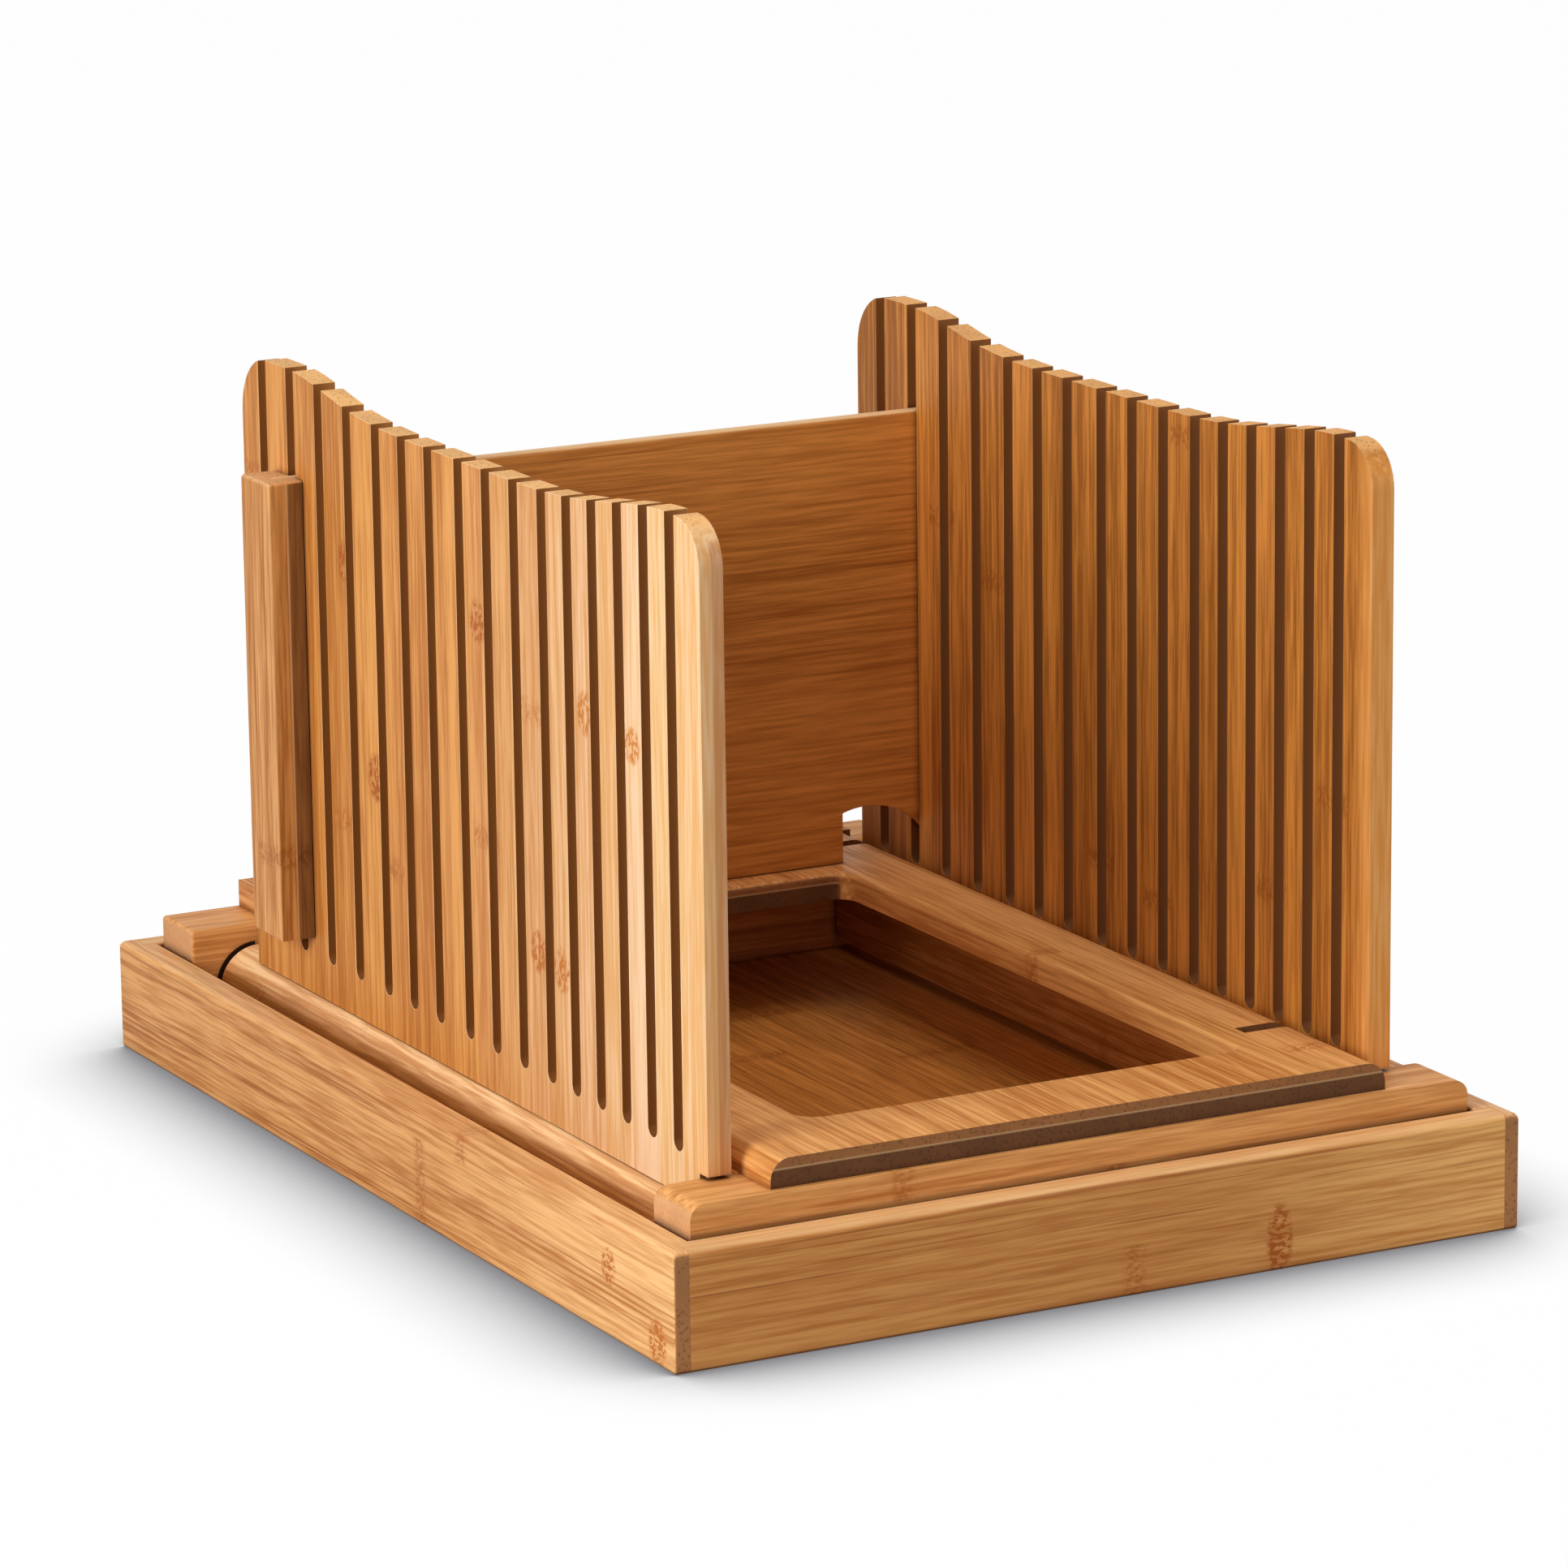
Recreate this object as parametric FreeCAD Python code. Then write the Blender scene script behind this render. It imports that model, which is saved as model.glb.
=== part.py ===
"""Bread slicer guide with a crumb tray.

A loaf lies on the platform between two slotted side panels, a knife runs down
a pair of facing slots, and the crumbs fall through the platform into the tray.
The slicer lifts out of the tray, the stop board lifts out of the panels, and
the panels fold inward, one above the other, on hinges hidden under the
platform's edges.

Frame: millimetres, X to the right, Y to the back, Z up.  The origin is on the
surface the tray stands on, below the middle of the tray.
"""
import FreeCAD
import Part
import math
import os

V = FreeCAD.Vector

# ---------------------------------------------------------------- dimensions
# crumb tray
TRAY_W = 240.0            # across
TRAY_L = 340.0            # front to back
TRAY_H = 30.5
TRAY_WALL = 8.3
TRAY_TONGUE = 4.3         # end of a side wall that laps the front and rear walls
TRAY_EDGE_R = 1.8
TRAY_CORNER_R = 0.8
FLOOR_Z = 3.0             # underside of the floor panel
FLOOR_T = 4.0
FLOOR_GROOVE = 3.6        # how far the floor enters each wall
TRAY_DOWEL_D = 4.0
TRAY_DOWEL_L = 14.0

# cross bars, which stand on the tray floor
BAR_GAP = 1.2             # play between the slicer and the tray
BAR_DEPTH = 20.0
BAR_TOP = 38.4
FRONT_BAR_END_R = 4.0     # rounded top corners at the ends of the front bar
REAR_BAR_END_R = 1.0      # the rear bar is only eased
BAR_EDGE_R = 1.0          # upright edges on the inner side

# platform on the cross bars
PLATFORM_T = 7.4
PLATFORM_SIDE = 87.4      # half of its width
PLATFORM_SETBACK = 2.5    # from the front face of the front bar; flush behind
PLATFORM_EDGE_R = 5.5     # rounded sides, which the folding panels clear
PLATFORM_ROUND_Y = 125.2  # where the rounding stops, just behind the panels
CRUMB_HALF_W = 63.0       # opening that crumbs fall through
CRUMB_FRONT = -130.0
CRUMB_REAR = 82.0
CRUMB_CORNER_R = 6.0
PLATFORM_DOWEL_D = 6.0
PLATFORM_DOWEL_X = (-58.0, 0.0, 50.0)

# side rails between the bars
RAIL_R = 11.35
RAIL_X = 91.5             # centre of the rounded outer side
RAIL_Z = 21.3
RAIL_BACK = 90.0          # flat inner side
RAIL_END_GAP = 1.3        # between a rail's end and the bar
RAIL_DOWEL_D = 8.0
RAIL_DOWEL_X = 96.5
RAIL_DOWEL_L = 18.0

# side panels
PANEL_OUTER = 97.4
PANEL_T = 6.5
PANEL_FRONT = -144.5
PANEL_REAR = 124.5
PANEL_FOOT_Z = 39.3       # underside of the front end, over the front bar
PANEL_GAP = 0.35          # between the foot and the rail
FRONT_CORNER_R = 11.5
REAR_CORNER_R = 16.0
SLOT_W = 5.0
SLOT_BOTTOM = 42.2
# slices of 14, 16 and 18 mm, from the front to the back
SLOT_Y = [-129.0, -115.0, -101.0, -87.0, -73.0, -59.0, -43.0, -27.0,
          -11.0, 7.0, 23.0, 39.0, 57.0, 75.0, 93.0, 111.0]
# top edge of a panel as (y, z): high at both ends, dipped between
TOP_CURVE = [(-133, 200.3), (-120, 200.3), (-108, 199.1), (-95, 197.4),
             (-82, 195.8), (-70, 194.7), (-57, 194.1), (-40, 193.9),
             (-10, 193.9), (15, 194.0), (35, 194.4), (50, 195.4),
             (63, 197.1), (76, 199.4), (88, 201.0), (98, 201.4),
             (108.5, 201.4)]

# hinges: a steel arm in each end of a panel's foot, on a pin from the cross bar
HINGE_Z = 36.8            # the pins lie in grooves in the tops of the bars
LEFT_HINGE_X = -81.4      # the left panel folds first, flat on the platform
RIGHT_HINGE_X = 74.4      # the right panel folds on top of it
ARM_Y = (-115.0, 111.0)   # in line with the second and last slots
ARM_T = 4.0
ARM_LOW, ARM_HIGH = 34.6, 39.0
ARM_EYE_R = 3.1
ARM_TENON = 4.5           # length let into the foot
PIN_R = 1.5
PIN_HOLE_R = 1.55
PIN_IN_BAR = 15.0
BRAD_D = 2.2
NOTCH_W = 5.2             # notch in the platform that an arm swings in
NOTCH_CLEAR = 0.5

# stop board and its end strips
BOARD_Y = 93.0
BOARD_T = 4.4
BOARD_LOW = 45.9
BOARD_TOP = 172.5
STRIP_OUTER = 107.7
STRIP_GAP = 0.3
STRIP_FRONT = 85.4
STRIP_REAR = 103.6
STRIP_LOW = 47.5
STRIP_GROOVE = 5.3

# ------------------------------------------------------------- derived places
TRAY_X = TRAY_W / 2
TRAY_Y = TRAY_L / 2
INNER_X = TRAY_X - TRAY_WALL
INNER_Y = TRAY_Y - TRAY_WALL
FLOOR_TOP = FLOOR_Z + FLOOR_T
BAR_X = INNER_X - BAR_GAP
BAR_OUT_Y = INNER_Y - BAR_GAP
BAR_IN_Y = BAR_OUT_Y - BAR_DEPTH
PLATFORM_TOP = BAR_TOP + PLATFORM_T
PLATFORM_FRONT = -BAR_OUT_Y + PLATFORM_SETBACK
PLATFORM_REAR = BAR_OUT_Y
PANEL_INNER = PANEL_OUTER - PANEL_T


# --------------------------------------------------------------------- helpers
def block(x0, x1, y0, y1, z0, z1):
    """Box between two corners."""
    return Part.makeBox(x1 - x0, y1 - y0, z1 - z0, V(x0, y0, z0))


def rod(radius, start, end):
    """Round bar between two points."""
    start, end = V(*start), V(*end)
    axis = end.sub(start)
    return Part.makeCylinder(radius, axis.Length, start, axis)


def mirrored(shape):
    """The same piece on the other side of the middle plane."""
    return shape.mirror(V(0, 0, 0), V(1, 0, 0))


def edges_where(shape, test):
    """Edges whose middle point and direction pass a test."""
    found = []
    for edge in shape.Edges:
        first, last = edge.ParameterRange
        middle = edge.valueAt((first + last) / 2)
        ends = edge.valueAt(last).sub(edge.valueAt(first))
        if ends.Length > 1e-6:
            ends.normalize()
        if test(middle, ends):
            found.append(edge)
    return found


def rounded(shape, radius, test):
    """Shape with the chosen edges rounded over."""
    return shape.makeFillet(radius, edges_where(shape, test))


def near(a, b, tolerance=0.01):
    return abs(a - b) < tolerance


# ------------------------------------------------------------------ crumb tray
def make_tray():
    """Four walls and a floor.  The side walls run the full depth and their
    ends are rabbeted, so a thin tongue of end grain laps the other walls."""
    ring = block(-TRAY_X, TRAY_X, -TRAY_Y, TRAY_Y, 0, TRAY_H)
    ring = rounded(ring, TRAY_CORNER_R, lambda m, d: near(abs(d.z), 1))
    ring = rounded(ring, TRAY_EDGE_R, lambda m, d: near(m.z, TRAY_H))
    ring = rounded(ring, 1.0, lambda m, d: near(m.z, 0))
    ring = ring.cut(block(-INNER_X, INNER_X, -INNER_Y, INNER_Y, -1, TRAY_H + 1))
    ring = rounded(ring, 1.0, lambda m, d: near(m.z, TRAY_H) and (
        near(abs(m.x), INNER_X) or near(abs(m.y), INNER_Y)))

    floor = block(-INNER_X - FLOOR_GROOVE, INNER_X + FLOOR_GROOVE,
                  -INNER_Y - FLOOR_GROOVE, INNER_Y + FLOOR_GROOVE,
                  FLOOR_Z, FLOOR_TOP)
    ring = ring.cut(floor)

    lap = TRAY_X - TRAY_TONGUE
    cross = block(-lap, lap, -TRAY_Y, -INNER_Y, 0, TRAY_H)
    front = ring.common(cross)
    rear = ring.common(cross.mirror(V(0, 0, 0), V(0, 1, 0)))
    right = ring.cut(front).cut(rear).common(
        block(0, TRAY_X, -TRAY_Y, TRAY_Y, 0, TRAY_H))
    left = mirrored(right)

    # two dowels at each corner, through the rabbet of the side wall
    dowels = []
    for side in (-1, 1):
        for y in (-TRAY_Y + TRAY_WALL / 2, TRAY_Y - TRAY_WALL / 2):
            for z in (12.0, 23.0):
                inner = side * (TRAY_X - 1.5 - TRAY_DOWEL_L)
                outer = side * (TRAY_X - 1.5)
                dowels.append(rod(TRAY_DOWEL_D / 2, (inner, y, z), (outer, y, z)))
    dowels = Part.makeCompound(dowels)
    return {
        "tray_front_wall": front.cut(dowels),
        "tray_rear_wall": rear.cut(dowels),
        "tray_left_wall": left.cut(dowels),
        "tray_right_wall": right.cut(dowels),
        "tray_floor": floor,
        "tray_corner_dowels": dowels,
    }


# ----------------------------------------------------------------- slicer base
def make_bar(end_radius):
    """Cross bar in the front place: top corners rounded at the ends, inner
    uprights eased."""
    bar = block(-BAR_X, BAR_X, -BAR_OUT_Y, -BAR_IN_Y, FLOOR_TOP, BAR_TOP)
    bar = rounded(bar, end_radius, lambda m, d: near(abs(d.y), 1)
                  and near(m.z, BAR_TOP))
    bar = rounded(bar, BAR_EDGE_R, lambda m, d: near(abs(d.z), 1)
                  and near(m.y, -BAR_IN_Y))
    return bar


def make_platform():
    """Board on the bars, with the crumb opening and a notch for each arm.
    Its sides are rounded beside the panels and square behind them."""
    board = block(-PLATFORM_SIDE, PLATFORM_SIDE, PLATFORM_FRONT,
                  PLATFORM_ROUND_Y, BAR_TOP, PLATFORM_TOP)
    board = rounded(board, PLATFORM_EDGE_R, lambda m, d: near(abs(d.y), 1)
                    and near(m.z, PLATFORM_TOP))
    board = board.fuse(block(-PLATFORM_SIDE, PLATFORM_SIDE, PLATFORM_ROUND_Y,
                             PLATFORM_REAR, BAR_TOP, PLATFORM_TOP))
    board = board.removeSplitter()

    hole = block(-CRUMB_HALF_W, CRUMB_HALF_W, CRUMB_FRONT, CRUMB_REAR,
                 BAR_TOP - 1, PLATFORM_TOP + 1)
    hole = rounded(hole, CRUMB_CORNER_R, lambda m, d: near(abs(d.z), 1))
    board = board.cut(hole)
    board = rounded(board, 1.5, lambda m, d: near(m.z, PLATFORM_TOP)
                    and abs(m.x) < CRUMB_HALF_W + 0.5
                    and CRUMB_FRONT - 0.5 < m.y < CRUMB_REAR + 0.5)

    reach = ARM_EYE_R + NOTCH_CLEAR
    for y in ARM_Y:
        low, high = y - NOTCH_W / 2, y + NOTCH_W / 2
        board = board.cut(block(-PLATFORM_SIDE - 1, LEFT_HINGE_X + reach,
                                low, high, BAR_TOP - 1, PLATFORM_TOP + 1))
        board = board.cut(block(RIGHT_HINGE_X - reach, PLATFORM_SIDE + 1,
                                low, high, BAR_TOP - 1, PLATFORM_TOP + 1))
    return board


def make_rail():
    """Left rail: flat on the inside, fully rounded on the outside."""
    length = 2 * (BAR_IN_Y - RAIL_END_GAP)
    half_round = Part.makeCylinder(RAIL_R, length,
                                   V(-RAIL_X, -length / 2, RAIL_Z), V(0, 1, 0))
    outside = block(-RAIL_X - RAIL_R - 1, -RAIL_X, -length, length, 0, BAR_TOP)
    web = block(-RAIL_X, -RAIL_BACK, -length / 2, length / 2,
                RAIL_Z - RAIL_R, RAIL_Z + RAIL_R)
    return half_round.common(outside).fuse(web).removeSplitter()


def make_base():
    front = make_bar(FRONT_BAR_END_R)
    rear = make_bar(REAR_BAR_END_R).mirror(V(0, 0, 0), V(0, 1, 0))
    platform = make_platform()
    left_rail = make_rail()
    right_rail = mirrored(left_rail)

    platform_dowels = Part.makeCompound([
        rod(PLATFORM_DOWEL_D / 2, (x, y, BAR_TOP - 14), (x, y, BAR_TOP + 4.5))
        for x in PLATFORM_DOWEL_X
        for y in (-BAR_OUT_Y + BAR_DEPTH / 2, BAR_OUT_Y - BAR_DEPTH / 2)])

    half = RAIL_DOWEL_L / 2
    rail_dowels = Part.makeCompound([
        rod(RAIL_DOWEL_D / 2, (x, y - half, RAIL_Z), (x, y + half, RAIL_Z))
        for x in (-RAIL_DOWEL_X, RAIL_DOWEL_X) for y in (-BAR_IN_Y, BAR_IN_Y)])

    # each pin starts inside its bar and ends just past the arm
    front_pins = Part.makeCompound([
        rod(PIN_R, (x, -BAR_IN_Y - PIN_IN_BAR, HINGE_Z),
            (x, ARM_Y[0] + ARM_T / 2 + 1, HINGE_Z))
        for x in (LEFT_HINGE_X, RIGHT_HINGE_X)])
    rear_pins = Part.makeCompound([
        rod(PIN_R, (x, ARM_Y[1] - ARM_T / 2 - 1, HINGE_Z),
            (x, BAR_IN_Y + PIN_IN_BAR, HINGE_Z))
        for x in (LEFT_HINGE_X, RIGHT_HINGE_X)])

    # grooves for the pins, closed by the platform
    grooves = []
    for x in (LEFT_HINGE_X, RIGHT_HINGE_X):
        for y in (-BAR_IN_Y, BAR_IN_Y - PIN_IN_BAR):
            grooves.append(block(x - PIN_R, x + PIN_R, y - (y < 0) * PIN_IN_BAR,
                                 y + (y > 0) * PIN_IN_BAR, HINGE_Z, BAR_TOP))
    let_in = [platform_dowels, rail_dowels, front_pins, rear_pins] + grooves

    return {
        "front_cross_bar": front.cut(let_in),
        "rear_cross_bar": rear.cut(let_in),
        "platform": platform.cut(platform_dowels),
        "left_side_rail": left_rail.cut(rail_dowels),
        "right_side_rail": right_rail.cut(rail_dowels),
        "platform_dowels": platform_dowels,
        "rail_dowels": rail_dowels,
        "front_hinge_pins": front_pins,
        "rear_hinge_pins": rear_pins,
    }


# ----------------------------------------------------------------- side panels
def panel_outline(x):
    """Outline of a panel blank in the plane at x, with its dipped top edge."""
    low = RAIL_Z + 8
    curve = Part.BSplineCurve()
    curve.interpolate([V(x, y, z) for y, z in TOP_CURVE])
    front_y, front_top = TOP_CURVE[0]
    rear_y, rear_top = TOP_CURVE[-1]
    a, b = math.sin(math.radians(45)), 1 - math.sin(math.radians(45))
    front_low = V(x, PANEL_FRONT, front_top - FRONT_CORNER_R)
    front_mid = V(x, PANEL_FRONT + FRONT_CORNER_R * b,
                  front_top - FRONT_CORNER_R * b)
    rear_low = V(x, PANEL_REAR, rear_top - REAR_CORNER_R)
    rear_mid = V(x, PANEL_REAR - REAR_CORNER_R * b, rear_top - REAR_CORNER_R * b)
    edges = [
        Part.makeLine(V(x, PANEL_FRONT, low), front_low),
        Part.Arc(front_low, front_mid, V(x, front_y, front_top)).toShape(),
        curve.toShape(),
        Part.Arc(V(x, rear_y, rear_top), rear_mid, rear_low).toShape(),
        Part.makeLine(rear_low, V(x, PANEL_REAR, low)),
        Part.makeLine(V(x, PANEL_REAR, low), V(x, PANEL_FRONT, low)),
    ]
    return Part.Face(Part.Wire(edges))


def make_panel():
    """Left panel: a board with a comb of knife slots, rounded at their feet,
    and a foot hollowed to sit over the rail."""
    blank = panel_outline(-PANEL_OUTER).extrude(V(PANEL_T, 0, 0))

    # foot: hollow over the rail, and short at the front where the bar is
    foot = Part.makeCylinder(RAIL_R + PANEL_GAP, 400,
                             V(-RAIL_X, -200, RAIL_Z), V(0, 1, 0))
    blank = blank.cut(foot)
    blank = blank.cut(block(-RAIL_X, -PANEL_INNER + 1, -200, 200, 0,
                            RAIL_Z + RAIL_R + PANEL_GAP))
    blank = blank.cut(block(-PANEL_OUTER - 1, -PANEL_INNER + 1, -200,
                            -BAR_IN_Y + 0.4, 0, PANEL_FOOT_Z))

    slots = []
    for y in SLOT_Y:
        centre = SLOT_BOTTOM + SLOT_W / 2
        slots.append(block(-PANEL_OUTER - 1, -PANEL_INNER + 1,
                           y - SLOT_W / 2, y + SLOT_W / 2, centre, 230))
        slots.append(rod(SLOT_W / 2, (-PANEL_OUTER - 1, y, centre),
                         (-PANEL_INNER + 1, y, centre)))
    panel = blank.cut(slots)

    # mortises for the hinge arms, open below and on the inner face
    for y in ARM_Y:
        panel = panel.cut(block(-PANEL_INNER - ARM_TENON, -PANEL_INNER + 1,
                                y - ARM_T / 2, y + ARM_T / 2, 0, ARM_HIGH))
    return panel


def make_arm(hinge_x, tenon_x, y):
    """Flat steel arm with an eye for the pin, seen from the front as a bar."""
    low, high = min(hinge_x, tenon_x), max(hinge_x, tenon_x)
    bar = block(low, high, y - ARM_T / 2, y + ARM_T / 2, ARM_LOW, ARM_HIGH)
    eye = rod(ARM_EYE_R, (hinge_x, y - ARM_T / 2, HINGE_Z),
              (hinge_x, y + ARM_T / 2, HINGE_Z))
    hole = rod(PIN_HOLE_R, (hinge_x, y - ARM_T, HINGE_Z),
               (hinge_x, y + ARM_T, HINGE_Z))
    return bar.fuse(eye).removeSplitter().cut(hole)


def make_side(name, sign, panel, hinge_x):
    """One panel with its two arms and the brads that hold them in its foot."""
    tenon_x = sign * (PANEL_INNER + ARM_TENON)
    brad_x = sign * (PANEL_INNER + ARM_TENON / 2)
    brads = Part.makeCompound([
        rod(BRAD_D / 2, (brad_x, y, ARM_LOW), (brad_x, y, SLOT_BOTTOM - 1))
        for y in ARM_Y])
    nodes = {name + "_side_panel": panel.cut(brads)}
    for end, y in zip(("front", "rear"), ARM_Y):
        arm = make_arm(hinge_x, tenon_x, y)
        nodes[name + "_" + end + "_hinge_arm"] = arm.cut(brads)
    nodes[name + "_arm_brads"] = brads
    return nodes


def make_sides():
    left = make_panel()
    nodes = make_side("left", -1, left, LEFT_HINGE_X)
    nodes.update(make_side("right", 1, mirrored(left), RIGHT_HINGE_X))
    return nodes


# ------------------------------------------------------------------ stop board
def relief(hinge_x, side):
    """Hollow in a lower corner of the board, that the foot of the panel
    swings through as it folds."""
    rise = SLOT_BOTTOM + 1.8 - HINGE_Z
    sweep = math.hypot(side * PANEL_OUTER - hinge_x, rise) + 0.5
    far = hinge_x - side * (rise + 0.5)
    return rod(sweep, (hinge_x, 0, HINGE_Z), (hinge_x, 200, HINGE_Z)).common(
        block(min(far, side * 200), max(far, side * 200), 0, 200, 0, 200))


def make_stop():
    """Stop board through the second slot from the back, with a strip on each
    end that keeps the panels from opening outward."""
    end = STRIP_OUTER - (STRIP_OUTER - PANEL_OUTER - STRIP_GAP) + STRIP_GROOVE
    board = block(-end, end, BOARD_Y - BOARD_T / 2, BOARD_Y + BOARD_T / 2,
                  BOARD_LOW, BOARD_TOP)
    board = board.cut(relief(LEFT_HINGE_X, -1)).cut(relief(RIGHT_HINGE_X, 1))
    board = board.cut(block(-200, -PANEL_OUTER - STRIP_GAP, 0, 200, 0, STRIP_LOW))
    board = board.cut(block(PANEL_OUTER + STRIP_GAP, 200, 0, 200, 0, STRIP_LOW))
    board = rounded(board, 1.2, lambda m, d: near(abs(d.x), 1)
                    and near(m.z, BOARD_TOP))

    strip = block(-STRIP_OUTER, -PANEL_OUTER - STRIP_GAP, STRIP_FRONT,
                  STRIP_REAR, STRIP_LOW, BOARD_TOP)
    strip = rounded(strip, 1.0, lambda m, d: near(m.x, -STRIP_OUTER)
                    or near(m.z, BOARD_TOP) and near(abs(d.x), 1))
    strip = strip.cut(board)
    return {
        "stop_board": board,
        "left_end_strip": strip,
        "right_end_strip": mirrored(strip),
    }


# ------------------------------------------------------------------------ main
def main():
    nodes = {}
    for group in (make_tray(), make_base(), make_sides(), make_stop()):
        nodes.update(group)
    os.makedirs("parts", exist_ok=True)
    for name, shape in nodes.items():
        shape.exportStep("parts/" + name + ".step")
        print(name, "solids", len(shape.Solids), "valid", shape.isValid(),
              "volume %.1f" % shape.Volume)


main()
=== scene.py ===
# %% [markdown]
# # A bamboo bread slicer guide
# The slicer is a wooden jig: two slotted side panels stand on a platform, a
# stop board crosses them at the back, and everything sits in a crumb tray.
# The solid pieces already exist as a fixed frame at real size. This lesson
# dresses them: it eases their edges, gives each piece of bamboo its own grain
# direction, and lights them as on a white table.

# %% Load the frame
import math
import bmesh
import bpy
from mathutils import Matrix, Vector


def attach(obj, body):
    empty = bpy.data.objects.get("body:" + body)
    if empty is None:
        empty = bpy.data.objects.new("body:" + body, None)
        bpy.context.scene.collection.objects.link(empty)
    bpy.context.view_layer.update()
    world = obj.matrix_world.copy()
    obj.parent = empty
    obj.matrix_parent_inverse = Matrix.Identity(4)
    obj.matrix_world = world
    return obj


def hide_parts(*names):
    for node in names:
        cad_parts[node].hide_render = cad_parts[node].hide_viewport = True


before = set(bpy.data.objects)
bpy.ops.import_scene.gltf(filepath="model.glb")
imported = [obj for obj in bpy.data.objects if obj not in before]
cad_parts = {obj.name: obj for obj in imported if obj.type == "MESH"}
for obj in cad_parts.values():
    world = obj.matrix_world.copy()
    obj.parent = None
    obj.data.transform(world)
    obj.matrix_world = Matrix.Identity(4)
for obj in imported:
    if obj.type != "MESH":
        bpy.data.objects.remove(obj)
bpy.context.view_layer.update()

MM = 0.001

# %% [markdown]
# ## Easing the edges
# No edge of a sanded wooden piece is knife sharp. A bevel modifier could round
# the edges, but the frame's meshes are loose triangles, so the modifier would
# find no shared edges. Each piece is copied into a bmesh instead, its doubled
# corners are merged, the flat triangles are dissolved into whole faces, and
# only the sharp edges are bevelled. A bevel on a curved edge can bulge out by
# a hair, so the copy is held inside the solid's own box. It then stands for
# the solid piece.

# %% A helper that eases a piece's edges
MERGE_WITHIN = 0.002 * MM
FLAT_WITHIN = math.radians(0.5)
SHARP_ABOVE = math.radians(40)
SMOOTH_BELOW = math.radians(30)
BEVEL_SEGMENTS = 3


def shade(mesh):
    """Smooth shading that stops at the sharper edges."""
    for face in mesh.polygons:
        face.use_smooth = True
    mesh.set_sharp_from_angle(angle=SMOOTH_BELOW)


def eased(node, body, width):
    """A copy of a frame node with eased edges, riding where the node rides.
    The width of the easing is in mm."""
    mesh = bmesh.new()
    mesh.from_mesh(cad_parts[node].data)
    corners = [vertex.co.copy() for vertex in mesh.verts]
    smallest = [min(corner[axis] for corner in corners) for axis in range(3)]
    largest = [max(corner[axis] for corner in corners) for axis in range(3)]
    bmesh.ops.remove_doubles(mesh, verts=mesh.verts, dist=MERGE_WITHIN)
    bmesh.ops.dissolve_limit(mesh, angle_limit=FLAT_WITHIN,
                             verts=mesh.verts, edges=mesh.edges)
    sharp = [edge for edge in mesh.edges
             if edge.is_manifold and edge.calc_face_angle(0) > SHARP_ABOVE]
    bmesh.ops.bevel(mesh, geom=sharp, offset=width * MM, offset_type="OFFSET",
                    segments=BEVEL_SEGMENTS, profile=0.5, affect="EDGES",
                    clamp_overlap=True, material=-1)
    bmesh.ops.recalc_face_normals(mesh, faces=mesh.faces)
    for vertex in mesh.verts:
        vertex.co = [min(max(value, low), high) for value, low, high
                     in zip(vertex.co, smallest, largest)]
    data = bpy.data.meshes.new(node + "_eased")
    mesh.to_mesh(data)
    mesh.free()
    shade(data)
    piece = bpy.data.objects.new(node + "_eased", data)
    bpy.context.scene.collection.objects.link(piece)
    flat = piece.modifiers.new("flat faces stay flat", "WEIGHTED_NORMAL")
    flat.keep_sharp = True
    flat.weight = 100
    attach(piece, body)
    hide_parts(node)
    print(piece.name, len(sharp), "edges eased,", len(data.polygons), "faces")
    return piece


print("easing helper ready")

# %% [markdown]
# ## Bamboo
# Bamboo board is glued up from thin strips split out of the stalk. Several
# things make it look like bamboo: fine fibres along the strip, darker threads
# among them, a tone that changes from strip to strip, and the stalk's
# knuckles, small mottled patches that cross a strip. Where a piece is sawn
# across, the fibres show as dark dots. An image could show all that, but it
# would repeat and smear round corners, so the material is built from Object
# coordinates, and one set of helpers turns it to each piece's grain.

# %% Adding nodes
def add(tree, kind, inputs=None, **settings):
    """Adds a shader node, sets it up and fills or joins its inputs."""
    made = tree.nodes.new(kind)
    for key, value in settings.items():
        setattr(made, key, value)
    for key, value in (inputs or {}).items():
        if isinstance(value, bpy.types.NodeSocket):
            tree.links.new(value, made.inputs[key])
        else:
            made.inputs[key].default_value = value
    return made


def calc(tree, operation, *values, clamp=False):
    """A Math node; returns its result."""
    return add(tree, "ShaderNodeMath", dict(enumerate(values)),
               operation=operation, use_clamp=clamp).outputs[0]


def remap(tree, value, low, high, to_low=0.0, to_high=1.0, smooth=True):
    """Maps a range of a value to another, clamped at both ends."""
    kind = "SMOOTHSTEP" if smooth else "LINEAR"
    return add(tree, "ShaderNodeMapRange", {
        "Value": value, "From Min": low, "From Max": high,
        "To Min": to_low, "To Max": to_high},
        interpolation_type=kind).outputs["Result"]


def blend(tree, factor, first, second, mode="MIX"):
    """Mixes two colours; each may be a socket or a plain colour."""
    made = tree.nodes.new("ShaderNodeMix")
    made.data_type = "RGBA"
    made.blend_type = mode
    for index, value in ((0, factor), (6, first), (7, second)):
        if isinstance(value, bpy.types.NodeSocket):
            tree.links.new(value, made.inputs[index])
        else:
            made.inputs[index].default_value = value
    return made.outputs[2]


print("node helpers ready")

# %% Colours and new materials
def tinted(tree, colour, tint):
    """A colour multiplied by a tint, either a socket or three numbers."""
    if not isinstance(tint, bpy.types.NodeSocket):
        tint = tuple(tint) + (1.0,)
    return blend(tree, 1.0, colour, tint, "MULTIPLY")


def dimmed(colour, share):
    """A plain colour with only a share of its light."""
    return tuple(channel * share for channel in colour[:3]) + (1.0,)


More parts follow.
